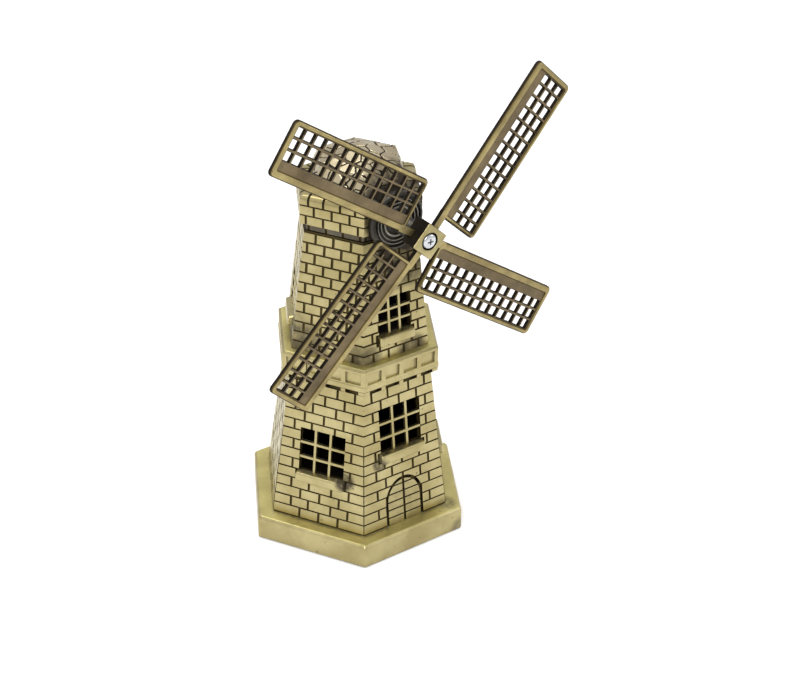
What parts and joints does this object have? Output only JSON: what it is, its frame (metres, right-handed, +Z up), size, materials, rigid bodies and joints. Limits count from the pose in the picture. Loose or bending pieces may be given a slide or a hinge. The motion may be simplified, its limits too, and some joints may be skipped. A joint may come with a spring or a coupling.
{
  "type": "windmill table ornament",
  "caption": "Hexagonal brick windmill ornament on a plinth, with windows, a gallery, a faceted dome and a free-spinning rotor of lattice sails.",
  "frame": {"origin": "centre of the underside, on the table", "axes": "+Z up the tower's centre line; the door and the rotor face -Y; +X is to the right seen from the door side"},
  "size_m": [0.0872, 0.0587, 0.133],
  "materials": {
    "antique_brass": "satin antique brass with dark patina in the recesses",
    "dark_brass": "blackened brass, worn bright on the rings",
    "plated_screw": "bright plated",
    "zinc_steel": "zinc plated",
    "felt": "pressed felt"
  },
  "bodies": {
    "tower": {"felt_pad": "felt", "base_plinth": "antique_brass", "tie_rod": "zinc_steel", "tie_rod_nut": "zinc_steel", "tie_rod_washer": "zinc_steel", "lower_tower": "antique_brass", "door": "antique_brass", "gallery": "antique_brass", "upper_tower": "antique_brass", "cap": "antique_brass", "dome": "antique_brass", "shaft_boss": "dark_brass", "thrust_washer": "zinc_steel", "hub_screw": "plated_screw", "lower_grille_left": "antique_brass", "lower_grille_right": "antique_brass", "lower_grille_rear": "antique_brass", "lower_grille_front": "antique_brass", "upper_grille_front": "antique_brass", "upper_grille_rear_right": "antique_brass", "upper_grille_rear_left": "antique_brass", "lower_sill_left": "antique_brass", "lower_sill_right": "antique_brass", "lower_sill_rear": "antique_brass", "lower_sill_front": "antique_brass", "upper_sill_front": "antique_brass", "upper_sill_rear_right": "antique_brass", "upper_sill_rear_left": "antique_brass"},
    "rotor": {"hub": "antique_brass", "sail_upper_right": "antique_brass", "sail_upper_left": "antique_brass", "sail_lower_left": "antique_brass", "sail_lower_right": "antique_brass"}
  },
  "joints": [
    {"name": "rotor_spin", "type": "hinge", "parent": "tower", "child": "rotor", "pos_m": [0, -0.0282, 0.0945], "axis": [0, -1, 0], "continuous": true}
  ]
}
